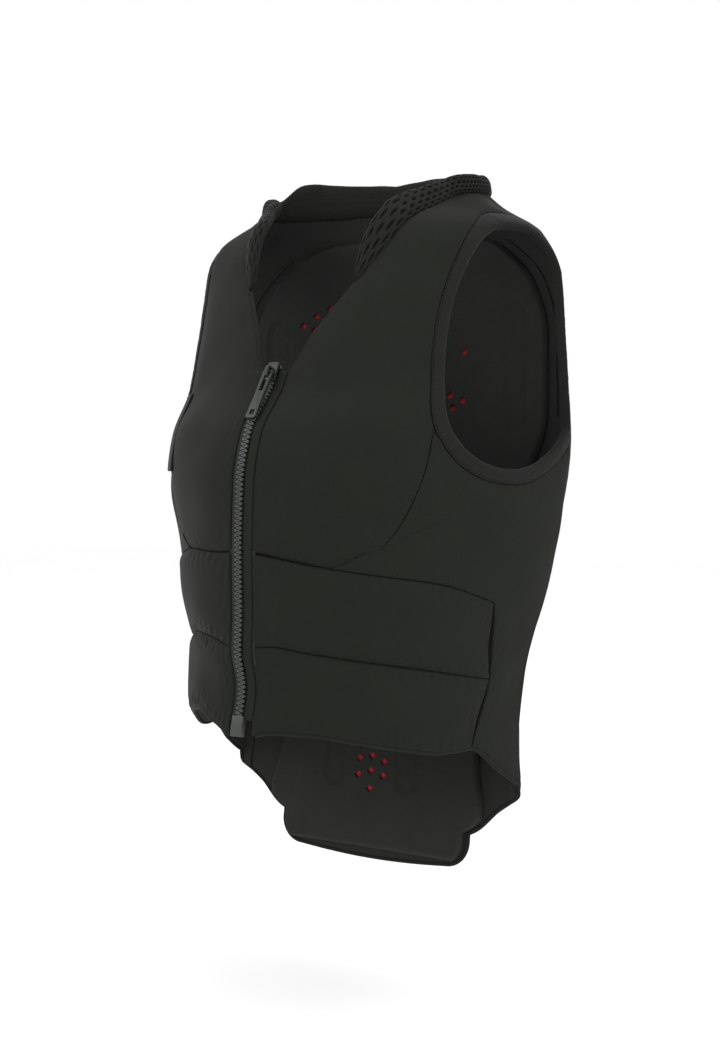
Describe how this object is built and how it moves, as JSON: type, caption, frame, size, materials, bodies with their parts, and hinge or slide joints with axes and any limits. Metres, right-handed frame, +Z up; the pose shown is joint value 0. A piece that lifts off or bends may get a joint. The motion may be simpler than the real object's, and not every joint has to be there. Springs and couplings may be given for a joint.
{
  "type": "equestrian body protector",
  "caption": "Zip-front riding vest with a padded collar, quilted waist bands and a pierced back pad that runs down into a tail, stored as worn.",
  "frame": {"origin": "between the shoulders, at the level where the collar is sewn on, where the vest hangs on its wearer", "axes": "+X to the wearer's left, -Y to the front where the zip is, +Z up"},
  "size_m": [0.3748, 0.2402, 0.6036],
  "materials": {
    "softshell": "matt brushed stretch softshell",
    "lining": "smooth knit lining over foam",
    "foam": "dark foam pad in its cover",
    "spacer_mesh": "honeycomb spacer mesh",
    "binding": "elastic knit binding",
    "red_layer": "red knit behind the holes",
    "zip_tape": "woven tape",
    "zip_plastic": "moulded zip teeth",
    "zip_metal": "satin painted die casting"
  },
  "bodies": {
    "vest": {"chest_panel_left": "softshell", "waist_band_left": "softshell", "hem_band_left": "softshell", "side_panel_left": "softshell", "armhole_binding_left": "binding", "neck_piping_left": "binding", "front_hem_piping_left": "binding", "chest_panel_right": "softshell", "waist_band_right": "softshell", "hem_band_right": "softshell", "side_panel_right": "softshell", "armhole_binding_right": "binding", "neck_piping_right": "binding", "front_hem_piping_right": "binding", "back_panel": "softshell", "back_pad": "foam", "pad_lining": "lining", "red_layer": "red_layer", "tail_piping": "binding", "collar": "spacer_mesh", "side_tab": "binding", "zip_tape_left": "zip_tape", "zip_tape_right": "zip_tape", "zip_teeth_left": "zip_plastic", "zip_teeth_right": "zip_plastic", "zip_stop_left": "zip_plastic", "zip_stop_right": "zip_plastic", "zip_box": "zip_plastic", "zip_slider": "zip_metal"},
    "puller": {"zip_puller": "zip_metal"}
  },
  "joints": [
    {"name": "puller_swing", "type": "hinge", "parent": "vest", "child": "puller", "pos_m": [0, -0.15166, -0.15055], "axis": [-1, 0, 0], "range_deg": [0, 150]}
  ]
}
